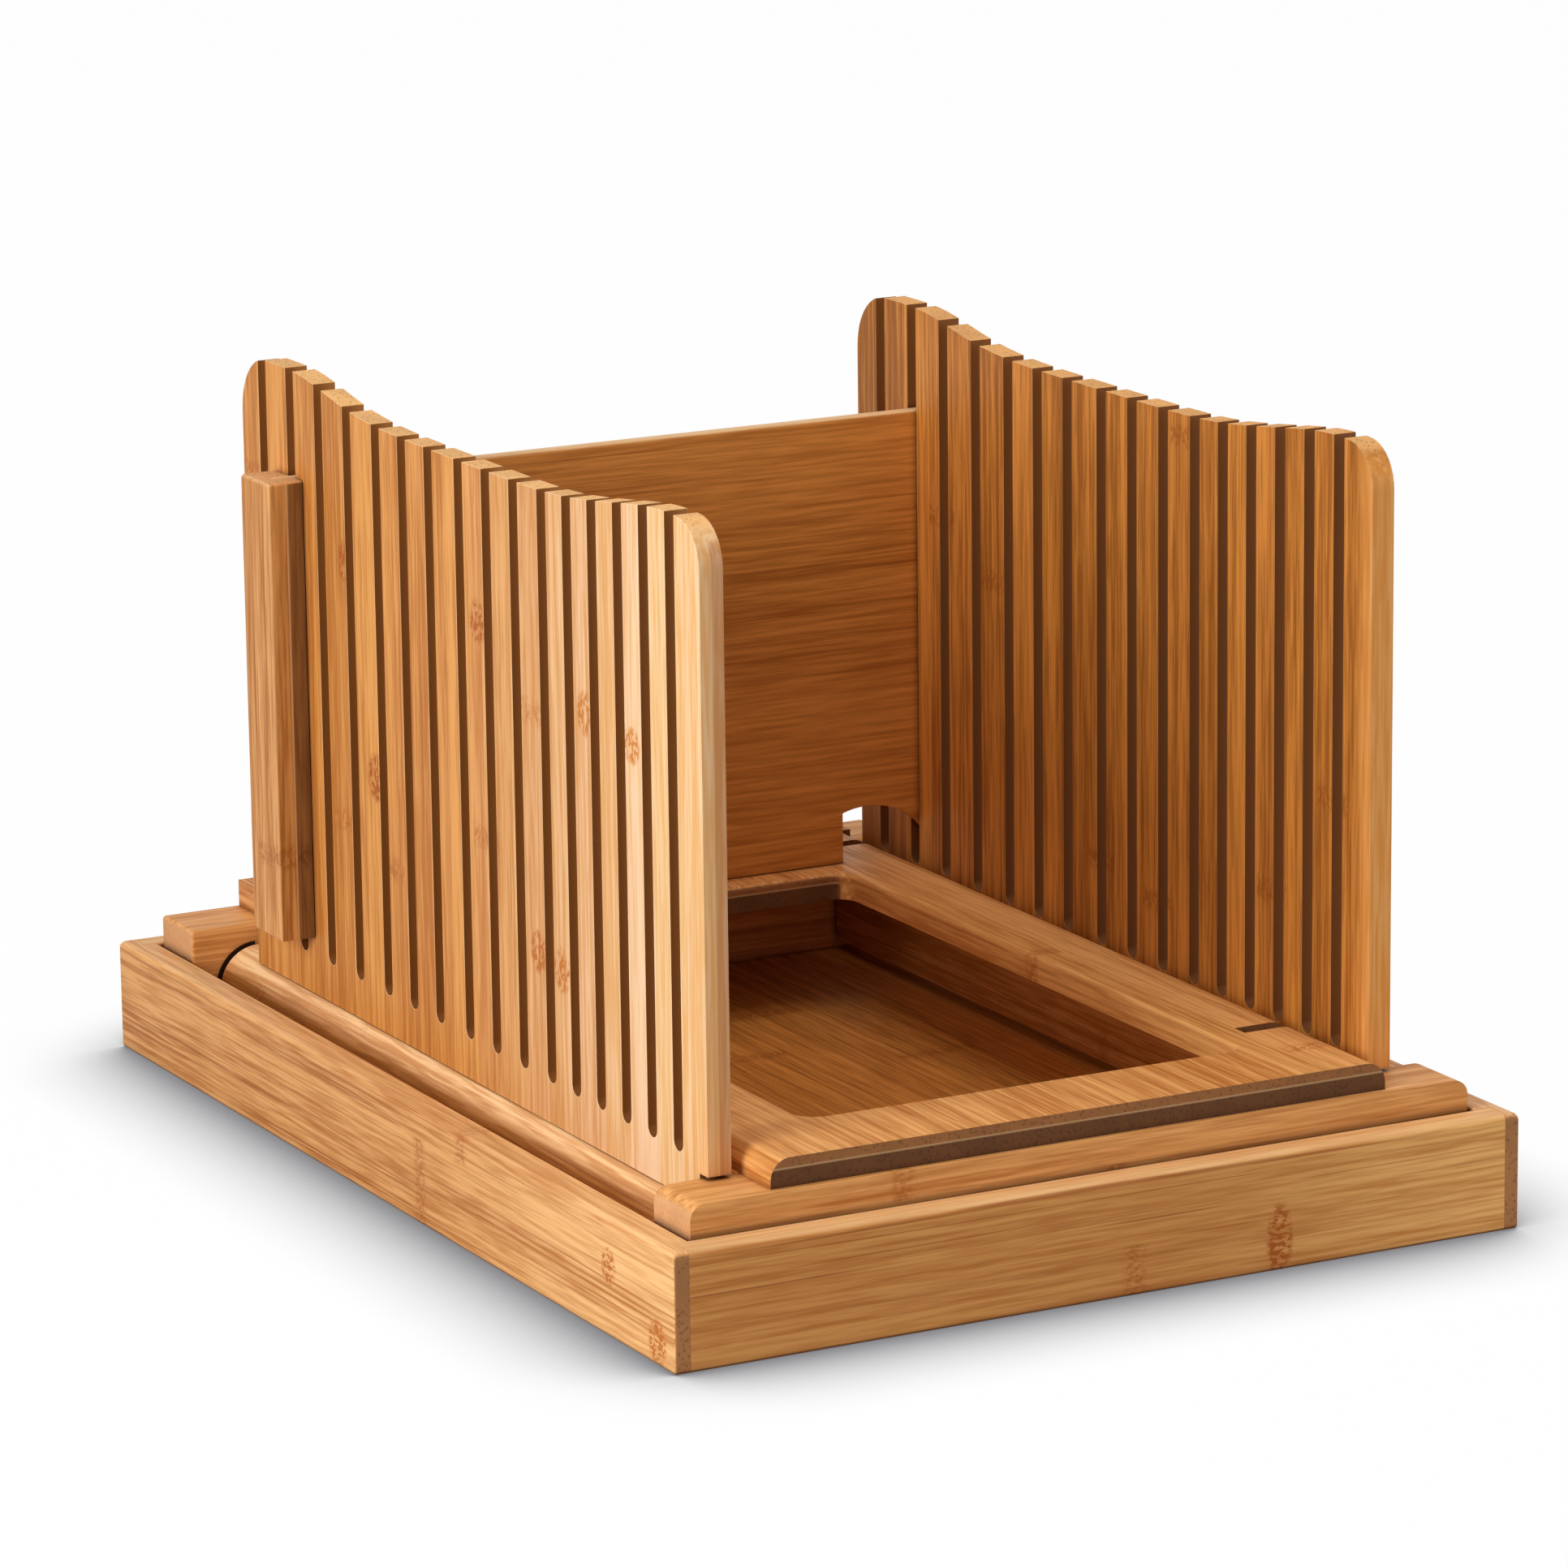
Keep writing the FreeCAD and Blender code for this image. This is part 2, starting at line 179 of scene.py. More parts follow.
def rgb(red, green, blue):
    """A colour picked on a 0 to 255 scale, as the linear values nodes use."""
    def linear(channel):
        channel /= 255
        if channel <= 0.04045:
            return channel / 12.92
        return ((channel + 0.055) / 1.055) ** 2.4
    return (linear(red), linear(green), linear(blue), 1.0)


def fresh(name):
    """A new material with an empty node tree."""
    material = bpy.data.materials.new(name)
    material.use_nodes = True
    material.node_tree.nodes.clear()
    return material, material.node_tree


print("colour helpers ready")

# %% [markdown]
# A board has its own directions: along the fibres, across the strips, and into
# the board. A Mapping node could turn the coordinates, but then every scale
# would have to be turned in mind as well. So the first helper names the
# directions, and lets the fibres wander a little, so that their lines are not
# ruled. The second draws noise out along them.

# %% The directions of a board
def grain_space(tree, grain, stack, wander, seed):
    """Object coordinates and normals, named for the board's own directions."""
    place = add(tree, "ShaderNodeTexCoord")
    space = {"seed": seed}
    for name, output in (("at", "Object"), ("facing", "Normal")):
        parts = add(tree, "ShaderNodeSeparateXYZ", {0: place.outputs[output]})
        for index, axis in enumerate("XYZ"):
            space[name + axis] = parts.outputs[index]
    third = ({"X", "Y", "Z"} - {grain, stack}).pop()
    space["along"] = space["at" + grain]
    space["depth"] = space["at" + third]
    space["sawn"] = calc(tree, "ABSOLUTE", space["facing" + grain])
    side = space["side"] = space["at" + stack]
    drift = add(tree, "ShaderNodeTexNoise", {
        "Vector": add(tree, "ShaderNodeCombineXYZ", {
            0: calc(tree, "MULTIPLY", space["along"], 11.0),
            1: calc(tree, "MULTIPLY", side, 45.0), 2: seed}).outputs[0],
        "Scale": 1.0, "Detail": 1.0}).outputs[0]
    space["bent"] = calc(tree, "MULTIPLY_ADD", drift, wander * MM, side)
    return space


def streaks(tree, space, along_scale, across_scale, detail, offset):
    """Noise drawn out along the fibres; the scales are per metre."""
    vector = add(tree, "ShaderNodeCombineXYZ", {
        0: calc(tree, "MULTIPLY", space["along"], along_scale),
        1: calc(tree, "MULTIPLY", space["bent"], across_scale),
        2: calc(tree, "MULTIPLY_ADD", space["depth"], across_scale,
                space["seed"] + offset)})
    return add(tree, "ShaderNodeTexNoise", {
        "Vector": vector.outputs[0], "Scale": 1.0,
        "Detail": detail}).outputs[0]


print("grain helpers ready")

# %% [markdown]
# The dark threads could be the peaks of a fine noise, but peaks come as blots.
# So the board is cut into narrow cells along the fibres, with one thread in
# each, and a random number gives each its strength, so that no two look alike.

# %% Dark threads
def dark_threads(tree, space, pitch):
    """Thin dark lines along the fibres, about a pitch in mm apart. Each has a
    strength of its own, and it comes and goes along its length."""
    sway = streaks(tree, space, 3.0, 260.0, 1.0, 23.0)
    sway = calc(tree, "SUBTRACT", sway, 0.5)
    place = calc(tree, "MULTIPLY_ADD", sway, 3.0 * pitch * MM, space["bent"])
    place = calc(tree, "DIVIDE", place, pitch * MM)
    within = calc(tree, "FRACT", place)
    chance = add(tree, "ShaderNodeTexWhiteNoise", {
        "W": calc(tree, "ADD", calc(tree, "FLOOR", place), space["seed"])},
        noise_dimensions="1D").outputs["Value"]
    off_middle = calc(tree, "ABSOLUTE", calc(tree, "SUBTRACT", within, 0.5))
    off_middle = calc(tree, "MULTIPLY", off_middle, pitch)
    line = remap(tree, off_middle, 0.10, 0.34, 1.0, 0.0)
    breaks = streaks(tree, space, 14.0, 160.0, 2.0, 29.0)
    line = calc(tree, "MULTIPLY", line, remap(tree, chance, 0.1, 0.8))
    breaks = remap(tree, breaks, 0.40, 0.58, 0.1, 1.0)
    return calc(tree, "MULTIPLY", line, breaks)


print("thread helper ready")

# %% [markdown]
# A knuckle is not a dark bar: it is a patch of short crooked fibres, some dark
# and some light. So a soft oval says where the knuckle is, and a small even
# noise inside it decides which way each spot goes.

# %% Knuckles
def knuckle_mask(tree, space, spots, strip_pick, gap):
    """One faint knuckle per strip every so often, and some at chosen spots,
    each (along, side, half length, half width) in mm."""
    spread = calc(tree, "FRACT", calc(
        tree, "ADD", calc(tree, "DIVIDE", space["along"], gap), strip_pick))
    reach = calc(tree, "ABSOLUTE", calc(tree, "SUBTRACT", spread, 0.5))
    reach = calc(tree, "MULTIPLY", reach, gap / MM)
    mask = remap(tree, reach, 1.0, 4.5, 0.5, 0.0)
    for middle, side, half_length, half_width in spots:
        far = []
        for socket, centre, half in ((space["along"], middle, half_length),
                                     (space["side"], side, half_width)):
            step = calc(tree, "SUBTRACT", socket, centre * MM)
            step = calc(tree, "DIVIDE", step, half * MM)
            far.append(calc(tree, "POWER", calc(tree, "ABSOLUTE", step), 2.0))
        oval = calc(tree, "ADD", *far)
        oval = remap(tree, oval, 0.4, 1.2, 1.0, 0.0)
        mask = calc(tree, "MAXIMUM", mask, oval)
    return mask


def mottled(tree, space, colour, mask, dark, light):
    """Mixes dark and light spots into a colour where the mask is."""
    vector = add(tree, "ShaderNodeCombineXYZ", {
        0: calc(tree, "MULTIPLY", space["along"], 520.0),
        1: calc(tree, "MULTIPLY", space["bent"], 900.0),
        2: calc(tree, "MULTIPLY", space["depth"], 900.0)})
    spots = add(tree, "ShaderNodeTexNoise", {
        "Vector": vector.outputs[0], "Scale": 1.0, "Detail": 2.0,
        "Distortion": 0.3}).outputs[0]
    darker = remap(tree, spots, 0.46, 0.54, 0.0, 1.0)
    darker = calc(tree, "MULTIPLY", mask, darker)
    lighter = remap(tree, spots, 0.34, 0.42, 0.3, 0.0)
    lighter = calc(tree, "MULTIPLY", mask, lighter)
    colour = blend(tree, calc(tree, "MULTIPLY", mask, 0.22), colour, dark)
    colour = blend(tree, lighter, colour, light)
    return blend(tree, darker, colour, dark)


print("knuckle helpers ready")

# %% [markdown]
# Some faces differ from the rest of their piece. An end face may show two
# layers of the board with a thin bright glue line between them; on the end
# strips the darker inner half of the front face is painted shadow, where the
# panel shades it. The walls of a saw slot are darkened partly by the blade and
# partly by painted shade, as little light reaches into a slot. All of these
# are found by where a point is and which way its face looks. So are the
# painted highlights on the narrow edges, which sanding also leaves a little
# paler, and the painted shadow in the gap round a rail's end. The joints
# between pieces have no fixed place on a piece, so there an Ambient Occlusion
# node finds what is near, and shade is painted into them.

# %% Plies, and painted shadow on the end strips
GLUE = rgb(226, 186, 138)


def two_tone_faces(tree, space, colour, facing, across, boundary, inner, outer):
    """Tints the inner and the outer ply on faces that look along one axis,
    where they lie side by side along another; the boundary is in mm. On the
    end strips the darker inner tint is painted shadow, where the panel shades
    them."""
    looks = remap(tree, calc(tree, "ABSOLUTE", space["facing" + facing]),
                  0.75, 0.92)
    depth = calc(tree, "ABSOLUTE", space["at" + across])
    depth = calc(tree, "DIVIDE", depth, MM)
    tint = blend(tree, remap(tree, depth, boundary - 0.15, boundary + 0.15),
                 inner + (1.0,), outer + (1.0,))
    colour = blend(tree, looks, colour, tinted(tree, colour, tint))
    away = calc(tree, "ABSOLUTE", calc(tree, "SUBTRACT", depth, boundary))
    line = remap(tree, away, 0.1, 0.4, 0.45, 0.0)
    return blend(tree, calc(tree, "MULTIPLY", looks, line), colour, GLUE)


print("ply helper ready")

# %% Saw slots, burnt and with painted shade
# heights between which a panel's face can be a slot's round bottom
BOTTOM_LOW, BOTTOM_HIGH = 41.8 * MM, 50.0 * MM
# how far out the burnt and shaded colour is darkest, and how far in it is
# palest
DARKEST_OUT, PALEST_IN = 97.2 * MM, 91.5 * MM


def burn_and_shade_slots(tree, space, colour, low, high, burn_and_shade, deeper_burn_and_shade):
    """Darkens the faces that look to the front or back between two places, and
    the round bottoms of the slots: partly the blade's burn and partly painted
    shade deep in the slots. The outer part of a wall is darkest."""
    facing = calc(tree, "ABSOLUTE", space["facingY"])
    looks = remap(tree, facing, 0.80, 0.95)
    bottom = calc(tree, "MULTIPLY",
                  calc(tree, "LESS_THAN", space["atZ"], BOTTOM_HIGH),
                  calc(tree, "GREATER_THAN", space["atZ"], BOTTOM_LOW))
    inward = remap(tree, calc(tree, "ABSOLUTE", space["facingX"]), 0.6, 0.2)
    looks = calc(tree, "MAXIMUM", looks, calc(
        tree, "MULTIPLY", bottom, inward))
    after = calc(tree, "GREATER_THAN", space["atY"], low * MM)
    before = calc(tree, "LESS_THAN", space["atY"], high * MM)
    mask = calc(tree, "MULTIPLY", looks, calc(tree, "MULTIPLY", after, before))
    depth = calc(tree, "ABSOLUTE", space["atX"])
    depth = remap(tree, depth, DARKEST_OUT, PALEST_IN)
    return blend(tree, mask, colour, blend(tree, depth, burn_and_shade, deeper_burn_and_shade))


print("slot helper ready")

# %% Painted highlights on rims, painted shadows round rail ends and in joints
RAIL_GAP_SHADOW = rgb(52, 27, 12)
EDGE_HIGHLIGHT_TONE = (1.0, 0.82, 0.54, 1.0)
JOINT_SHADE_REACH = 4.0 * MM
JOINT_SHADE_TINT = (0.28, 0.20, 0.14)


def painted_edge_highlight(tree, space, colour, amount):
    """Paints a highlight on the narrow edges round the faces that look left
    and right, where those edges catch the light; sanding also leaves them a
    little paler."""
    lean = calc(tree, "ABSOLUTE", space["facingX"])
    rim = calc(tree, "MULTIPLY", remap(tree, lean, 0.985, 0.93),
               remap(tree, lean, 0.30, 0.45))
    paler = blend(tree, 0.42, colour, EDGE_HIGHLIGHT_TONE)
    return blend(tree, calc(tree, "MULTIPLY", rim, amount), colour, paler)


def painted_rail_gap_shadow(tree, space, colour, out, up, radius):
    """A painted shadow: a dark line round the outer half of each rail's end,
    on the bar faces that the rails meet, where the gap lies in shade; the
    rails' axis and the line's radius are in mm."""
    side = calc(tree, "ABSOLUTE", space["atX"])
    side = calc(tree, "SUBTRACT", side, out * MM)
    high = calc(tree, "SUBTRACT", space["atZ"], up * MM)
    far = calc(tree, "SQRT", calc(tree, "ADD", calc(tree, "POWER", side, 2.0),
                                  calc(tree, "POWER", high, 2.0)))
    ring = remap(tree, far, (radius + 0.15) * MM, (radius - 0.15) * MM)
    inward = calc(tree, "MULTIPLY", space["facingY"],
                  calc(tree, "SIGN", space["atY"]))
    ring = calc(tree, "MULTIPLY", ring, calc(tree, "LESS_THAN", inward, -0.8))
    ring = calc(tree, "MULTIPLY", ring, calc(tree, "GREATER_THAN", side, 0.0))
    return blend(tree, ring, colour, RAIL_GAP_SHADOW)


def painted_joint_shade(tree, colour):
    """Paints shade into the wood in the joints between pieces, where little
    light gets in: an Ambient Occlusion node finds what is near."""
    near = add(tree, "ShaderNodeAmbientOcclusion", {"Distance": JOINT_SHADE_REACH},
               samples=6).outputs["AO"]
    near = remap(tree, near, 0.74, 0.36, 0.0, 0.95)
    return blend(tree, near, colour, tinted(tree, colour, JOINT_SHADE_TINT))


print("face helpers ready")

# %% [markdown]
# One noise alone would look like one grain size everywhere, as on printed
# wood. So the tone adds up four layers: fine fibres, coarse fibres, broad
# bands, and a tone for each strip. The threads are laid over them later.

# %% Layers of tone
# how often each layer changes along and across the fibres, per metre, then
# its detail and its offset
FINE = (45.0, 1000.0, 3.0, 0.0)
COARSE = (5.0, 430.0, 2.0, 5.0)
BROAD = (3.0, 75.0, 2.0, 9.0)
# a strip's own tint, at its strongest
STRIP_TINT = (1.0, 1.03, 0.92)
# how far apart the seeds of two pieces lie, in strips
SEED_STEP = 7.3


def strip_numbers(tree, space, strip, seed):
    """How far across its strip a point is, from 0 to 1, and three random
    numbers of that strip's own."""
    count = calc(tree, "DIVIDE", space["bent"], strip * MM)
    count = calc(tree, "ADD", count, seed * SEED_STEP)
    chance = add(tree, "ShaderNodeTexWhiteNoise",
                 {"W": calc(tree, "FLOOR", count)}, noise_dimensions="1D")
    parts = add(tree, "ShaderNodeSeparateXYZ",
                {0: chance.outputs["Color"]}).outputs
    return (calc(tree, "FRACT", count), parts[0], parts[1],
            chance.outputs["Value"])


def added_up(tree, layers, contrast):
    """Adds layers round a middle tone of 0.5. Each layer is a value, the range
    of it that counts, and a weight."""
    mix = 0.5
    for value, low, high, weight in layers:
        part = remap(tree, value, low, high, -0.5, 0.5, smooth=False)
        mix = calc(tree, "MULTIPLY_ADD", part, weight * contrast, mix)
    return calc(tree, "MINIMUM", calc(tree, "MAXIMUM", mix, 0.0), 1.0)


print("tone helpers ready")

# %% [markdown]
# A sawn end cuts through the fibres, so it shows them as dots: the cells of a
# Voronoi texture, seen end on. Bump and roughness could have a noise of their
# own, but they follow the same fibres, threads and dots as the colour does, so
# the light breaks up along the grain too.

# %% Sawn ends and relief
def end_grain(tree, space, end, broad, specks):
    """How far a point lies on a sawn end, the end's colour, and its dots."""
    sawn = remap(tree, space["sawn"], 0.72, 0.95)
    across = add(tree, "ShaderNodeCombineXYZ", {
        0: space["side"], 1: space["depth"]}).outputs[0]
    dot = add(tree, "ShaderNodeTexVoronoi", {
        "Vector": across, "Scale": 850.0,
        "Randomness": 0.95}).outputs["Distance"]
    dot = remap(tree, dot, 0.18, 0.42, 1.0, 0.0)
    patch = remap(tree, broad, 0.35, 0.65, 0.0, 0.35)
    face = blend(tree, patch, end, dimmed(end, 0.6))
    face = blend(tree, calc(tree, "MULTIPLY", dot, specks), face,
                 dimmed(end, 0.4))
    return sawn, face, dot


def relief(tree, fine, coarse, vein, dot, sawn):
    """The bumped normal and the roughness of the wood."""
    height = calc(tree, "MULTIPLY_ADD", coarse, 0.5, fine)
    height = calc(tree, "SUBTRACT", height, calc(tree, "MULTIPLY", vein, 0.5))
    height = calc(tree, "SUBTRACT", height, calc(tree, "MULTIPLY", dot, sawn))
    bump = add(tree, "ShaderNodeBump", {
        "Height": height, "Strength": 0.16, "Distance": 0.16 * MM})
    rough = remap(tree, fine, 0.3, 0.7, 0.60, 0.46)
    rough = calc(tree, "MULTIPLY_ADD", sawn, 0.2, rough)
    return bump.outputs[0], rough


print("end grain and relief ready")

# %% [markdown]
# One function puts the layers together. Its arguments are what differs from
# one piece of wood to the next: the two directions, the two tones, and the
# marks that only some pieces carry.

# %% The bamboo material
DEEP_TINT = (0.62, 0.46, 0.28)
KNUCKLE_TINT = (0.80, 0.55, 0.24)
# the colours of the painted light on faces that look up
LIT_TOP_DARK, LIT_TOP_LIGHT = rgb(238, 184, 126), rgb(255, 218, 166)


def bamboo(name, grain, stack, light, dark, seed, end, strip=20.0,
           tones=0.3, glue=0.0, threads=0.4, contrast=1.0, wander=1.5,
           knuckles=(), gap=0.34, fade=None, two_tone=None, slot_burn_and_shade=None,
           pitch=2.0, edge_highlight=0.0, lit_top=0.0, specks=0.6, rail_gap_shadow=None):
    """Bamboo whose fibres run along one axis and whose strips, of a width in
    mm, lie side by side along another. Its sawn ends have a colour of their
    own."""
    material, tree = fresh(name)
    space = grain_space(tree, grain, stack, wander, seed)
    within, pick, hue, own_tone = strip_numbers(tree, space, strip, seed)
    fine = streaks(tree, space, *FINE)
    coarse = streaks(tree, space, *COARSE)
    broad = streaks(tree, space, *BROAD)
    mix = added_up(tree, ((fine, 0.40, 0.60, 0.46), (coarse, 0.38, 0.62, 0.42),
                          (broad, 0.34, 0.66, 0.26), (own_tone, 0, 1, tones)),
                   contrast)

    # the wood's colour, and each strip's own tint
    if fade:
        axis, start, stop, light_there, dark_there = fade
        there = remap(tree, space["at" + axis], start * MM, stop * MM)
        light = blend(tree, there, light, light_there)
        dark = blend(tree, there, dark, dark_there)
    colour = blend(tree, mix, dark, light)
    colour = blend(tree, calc(tree, "MULTIPLY", hue, 2 * tones, clamp=True),
                   colour, tinted(tree, colour, STRIP_TINT))

    # dark threads, glue lines between the strips, and knuckles
    deep = tinted(tree, dark, DEEP_TINT)
    vein = dark_threads(tree, space, pitch)
    vein = calc(tree, "MULTIPLY", vein, remap(tree, broad, 0.64, 0.42, 0.2, 1))
    vein = calc(tree, "MULTIPLY", vein, threads)
    colour = blend(tree, vein, colour, deep)
    edge = calc(tree, "MINIMUM", within, calc(tree, "SUBTRACT", 1.0, within))
    edge = calc(tree, "MULTIPLY", edge, strip)
    colour = blend(tree, remap(tree, edge, 0.05, 0.30, glue, 0), colour, deep)
    mask = knuckle_mask(tree, space, knuckles, pick, gap)
    colour = mottled(tree, space, colour, mask,
                     tinted(tree, dark, KNUCKLE_TINT), light)

    # sawn ends, and the marks that only some pieces carry, painted light and
    # shade among them; then painted shade in the joints of every piece
    sawn, face, dot = end_grain(tree, space, end, broad, specks)
    colour = blend(tree, sawn, colour, face)
    if two_tone:
        colour = two_tone_faces(tree, space, colour, *two_tone)
    if slot_burn_and_shade:
        colour = burn_and_shade_slots(tree, space, colour, *slot_burn_and_shade)
    # painted light: faces that look up are made lighter, where light from
    # above falls on them
    if lit_top:
        up = remap(tree, space["facingZ"], 0.35, 0.85, 0.0, lit_top)
        colour = blend(tree, up, colour,
                       blend(tree, mix, LIT_TOP_DARK, LIT_TOP_LIGHT))
    if edge_highlight:
        colour = painted_edge_highlight(tree, space, colour, edge_highlight)
    if rail_gap_shadow:
        colour = painted_rail_gap_shadow(tree, space, colour, *rail_gap_shadow)
    colour = painted_joint_shade(tree, colour)

    normal, rough = relief(tree, fine, coarse, vein, dot, sawn)
    shader = add(tree, "ShaderNodeBsdfPrincipled", {
        "Base Color": colour, "Roughness": rough, "Normal": normal,
        "Specular IOR Level": 0.25})
    add(tree, "ShaderNodeOutputMaterial", {0: shader.outputs[0]})
    print(name, "has", len(tree.nodes), "nodes")
    return material


print("bamboo function ready")

# %% [markdown]
# ## Finishes for each piece
# One material could serve all the wood, but its fibres would run the same way
# through every piece, as if the slicer were carved from a block. So the same
# function makes each kind of bamboo. The panels' fibres stand upright, and
# their front slats are the palest: partly the bamboo's own tone and partly
# painted light, as the key light is strongest at the front. The walls' and
# bars' fibres run along them, and the platform's run front to back, so its
# front edge is sawn. The right panel is of a deeper tone, which is painted
# shade for the inside of the slicer, and the stop board is of a deeper tone
# too.

# %% Colours of the bamboo
CREAM = rgb(236, 178, 120)
HONEY = rgb(244, 178, 108)
DEEP_HONEY = rgb(230, 158, 84)
TOAST = rgb(188, 114, 50)
AMBER = rgb(225, 146, 66)
UMBER = rgb(162, 96, 34)
SAWN = rgb(182, 124, 76)
DULL = dimmed(TOAST, 0.7)
BURN_AND_SHADE = rgb(134, 78, 28)
PALER_BURN_AND_SHADE = rgb(168, 108, 52)
print("honey, in linear values:", [round(part, 3) for part in HONEY[:3]])

# %% Bamboo for each piece
WOOD = {
    "left wall": bamboo(
        "Bamboo left wall", "Y", "Z", rgb(232, 168, 102), rgb(180, 110, 50),
        1.0, strip=33, threads=0.9, contrast=1.3, wander=0.8, end=SAWN,
        pitch=1.5, lit_top=0.25,
        # painted light: paler towards the front, where the key light is
        # stronger
        fade=("Y", -30, -165, rgb(254, 198, 134), rgb(216, 148, 86)),
        knuckles=((-135, 18, 4, 5), (-161, 6, 5, 6))),
    "right wall": bamboo(
        "Bamboo right wall", "Y", "Z", HONEY, TOAST, 1.6, strip=33,
        threads=0.7, contrast=1.3, wander=1.0, end=SAWN, pitch=1.7, lit_top=0.35),
    "end wall": bamboo(
        "Bamboo end walls", "X", "Z", rgb(222, 155, 86), TOAST, 2.0, strip=33,
        threads=0.65, contrast=1.1, wander=0.8, end=SAWN, pitch=1.7, lit_top=0.4,
        # painted light: paler towards the right end, where the lamp from the
        # right lights it
        fade=("X", 20, 118, rgb(252, 190, 116), rgb(210, 136, 66)),
        knuckles=((49, 8, 4.0, 10),)),
    "floor": bamboo(
        "Bamboo tray floor", "Y", "X", AMBER, UMBER, 3.0, strip=24, glue=0.7,
        end=DULL),
    "bar": bamboo(
        "Bamboo bars", "X", "Z", HONEY, TOAST, 4.0, strip=40, threads=0.4,
        # the bars carry a painted shadow round each rail's end
        end=rgb(226, 168, 116), specks=0.2, rail_gap_shadow=(91.5, 21.3, 12.0)),
    "platform": bamboo(
        "Bamboo platform", "Y", "X", HONEY, TOAST, 5.0, strip=11, glue=0.3,
        threads=0.6, contrast=1.1, end=rgb(172, 116, 70),
        two_tone=("Y", "Z", 43.1, (0.36, 0.33, 0.29), (0.86, 0.84, 0.78))),
    "rail": bamboo(
        "Bamboo rails", "Y", "Z", rgb(246, 188, 126), TOAST, 6.0, strip=9,
        # a painted highlight on the upper faces, and painted shade that
        # darkens the lower side
        threads=0.9, contrast=1.9, end=SAWN, pitch=1.4, lit_top=0.55,
        fade=("Z", 30.0, 26.5, rgb(196, 128, 66), UMBER)),
    "left panel": bamboo(
        "Bamboo left panel", "Z", "Y", DEEP_HONEY, TOAST, 7.0, strip=14.5,
        tones=0.5, contrast=1.2, threads=0.4, wander=0.8,
        end=rgb(254, 194, 124), gap=0.9, edge_highlight=0.9, pitch=2.2,
        knuckles=((155, 60, 6, 5), (100, 43, 7, 6), (154, -21, 6, 5),
                  (142, -82, 6, 5), (139, -107, 5, 5), (75, -53, 6, 5),
                  (73, -66, 6, 5)),
        # paler towards the front: partly the bamboo's own tone, partly painted
        # light
        fade=("Y", 10, -138, rgb(250, 212, 172), rgb(236, 177, 114)),
        two_tone=("Y", "X", 94.2, (0.72, 0.59, 0.54), (0.92, 0.85, 0.78)),
        slot_burn_and_shade=(-132.6, 114.6, BURN_AND_SHADE, PALER_BURN_AND_SHADE)),
    # painted shade: the deeper tone stands for the shade inside the slicer,
    # and the lighter front end is where the light reaches it
    "right panel": bamboo(
        "Bamboo right panel with painted shade", "Z", "Y", AMBER, UMBER, 7.7, strip=14.5,
        tones=0.5, contrast=1.2, threads=0.4, wander=0.8,
        end=rgb(250, 184, 112), gap=0.7, edge_highlight=0.9, pitch=2.2,
        fade=("Y", -136, -144, HONEY, AMBER),
        slot_burn_and_shade=(-132.6, 114.6, BURN_AND_SHADE, BURN_AND_SHADE)),
    "board": bamboo(
        "Bamboo stop board", "X", "Z", rgb(240, 162, 78), rgb(176, 106, 40),
        8.0, strip=22, tones=0.2, threads=0.5, contrast=0.8, end=SAWN,
        gap=0.9, pitch=2.4, lit_top=0.9),
    "strip": bamboo(
        "Bamboo end strips", "Z", "Y", rgb(238, 172, 104), rgb(176, 108, 48),
        9.0, strip=30, tones=0.1, end=CREAM, gap=0.9, edge_highlight=0.3,
        # painted shadow: the inner half of each strip's front face is darker,
        # where the panel shades it
        two_tone=("Y", "X", 102.3, (0.36, 0.33, 0.28), (0.88, 0.88, 0.78))),
    "dowel": bamboo(
        "Bamboo dowels", "Y", "X", HONEY, TOAST, 10.0, strip=8, end=DULL),
}

# %% [markdown]
# ## Steel
# The hinge arms, pins and brads are plain steel: metallic, with faint lines
# left by rolling. One roughness all over would look like grey plastic, so
# stretched noise drives it, and highlights break up along the part.

# %% Steel
steel, tree = fresh("Rolled steel")
place = add(tree, "ShaderNodeTexCoord")
drawn = add(tree, "ShaderNodeMapping", {
    "Vector": place.outputs["Object"], "Scale": (60.0, 2400.0, 2400.0)})
lines = add(tree, "ShaderNodeTexNoise", {
    "Vector": drawn.outputs[0], "Scale": 1.0, "Detail": 2.0}).outputs[0]
tint = blend(tree, remap(tree, lines, 0.35, 0.65), rgb(150, 150, 152),
             rgb(182, 182, 184))
shader = add(tree, "ShaderNodeBsdfPrincipled", {
    "Base Color": tint, "Metallic": 1.0,
    "Roughness": remap(tree, lines, 0.3, 0.7, 0.28, 0.46)})
add(tree, "ShaderNodeOutputMaterial", {0: shader.outputs[0]})
print("steel made")

# %% [markdown]
# A piece could carry one finish per face, but each is of one stuff throughout,
# and the finish itself finds the sawn and burnt faces. So a piece takes one
# finish on all its faces.

# %% Dress one piece
def dress(thing, material):
    """Gives an object one material on all its faces."""
    thing.data.materials.clear()
    thing.data.materials.append(material)
    for face in thing.data.polygons:
        face.material_index = 0


print("finishes ready:", len(WOOD), "kinds of bamboo and one of steel")

# %% [markdown]
# ## The crumb tray
# The tray is four walls round a thin floor. The side walls run the full depth
# and end in a thin tongue of sawn wood that laps the other walls. One mesh
# could stand for all of it, but its joints would be painted lines. Each wall
# is eased by itself instead, just enough to catch the light along the joints.

# %% The tray
for node, wood, width in (("tray_left_wall", "left wall", 0.3),
                          ("tray_right_wall", "right wall", 0.3),
                          ("tray_front_wall", "end wall", 0.3),
                          ("tray_rear_wall", "end wall", 0.3),
                          ("tray_floor", "floor", 0.2)):
    dress(eased(node, "tray", width), WOOD[wood])
dress(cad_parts["tray_corner_dowels"], WOOD["dowel"])

